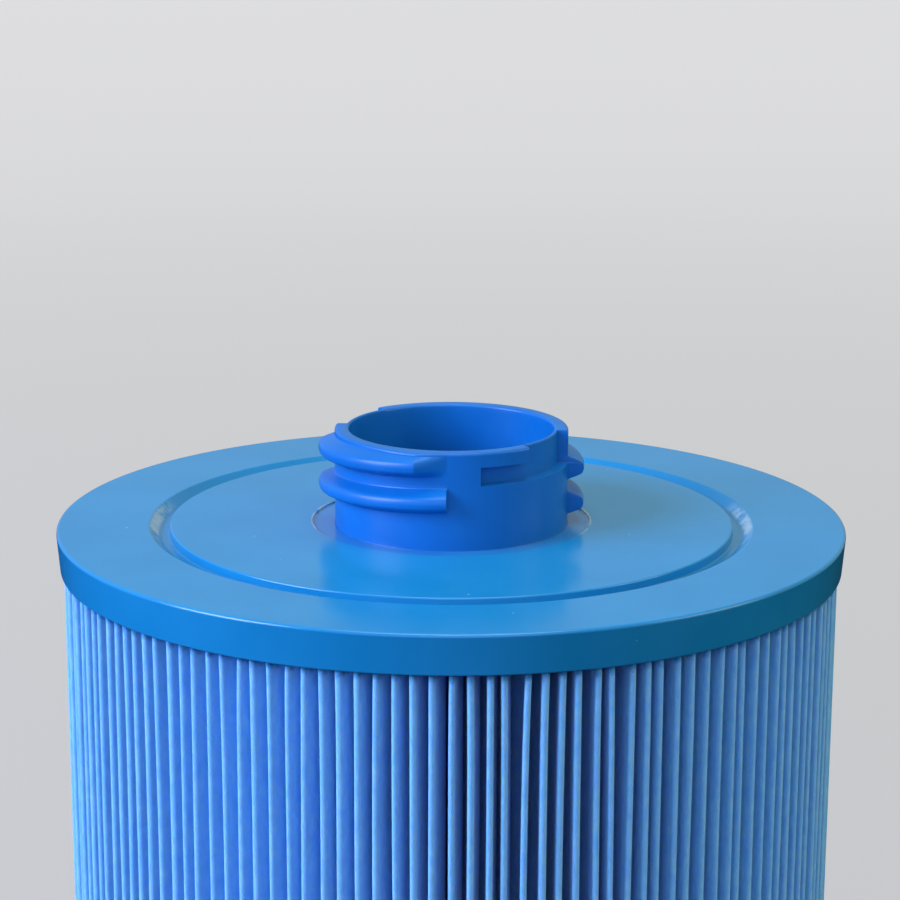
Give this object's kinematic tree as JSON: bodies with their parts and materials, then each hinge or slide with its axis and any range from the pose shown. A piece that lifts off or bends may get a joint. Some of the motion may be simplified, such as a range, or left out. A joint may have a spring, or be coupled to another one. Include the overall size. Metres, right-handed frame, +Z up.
{
  "type": "filter cartridge",
  "caption": "Pleated spa filter cartridge with potted end caps, a perforated core and a coarse-threaded nozzle with bayonet slots.",
  "frame": {"origin": "centre of the face that the cartridge stands on, on its axis", "axes": "+Z up along the axis, from the closed end to the nozzle; -Y is the front, midway between the ends of the thread and the bayonet slot"},
  "size_m": [0.15, 0.15, 0.2211],
  "materials": {
    "potting": "cast polyurethane, semi-gloss",
    "nozzle": "moulded ABS, satin",
    "core": "moulded polypropylene, satin",
    "media": "spun-bonded polyester, matt, pleated"
  },
  "bodies": {
    "root": {"top_end_cap": "potting", "threaded_nozzle": "nozzle", "pleated_media": "media", "media_seam_clip": "core", "core_upper_section": "core", "core_lower_section": "core", "core_end_plug": "core", "bottom_end_cap": "potting"}
  },
  "joints": []
}
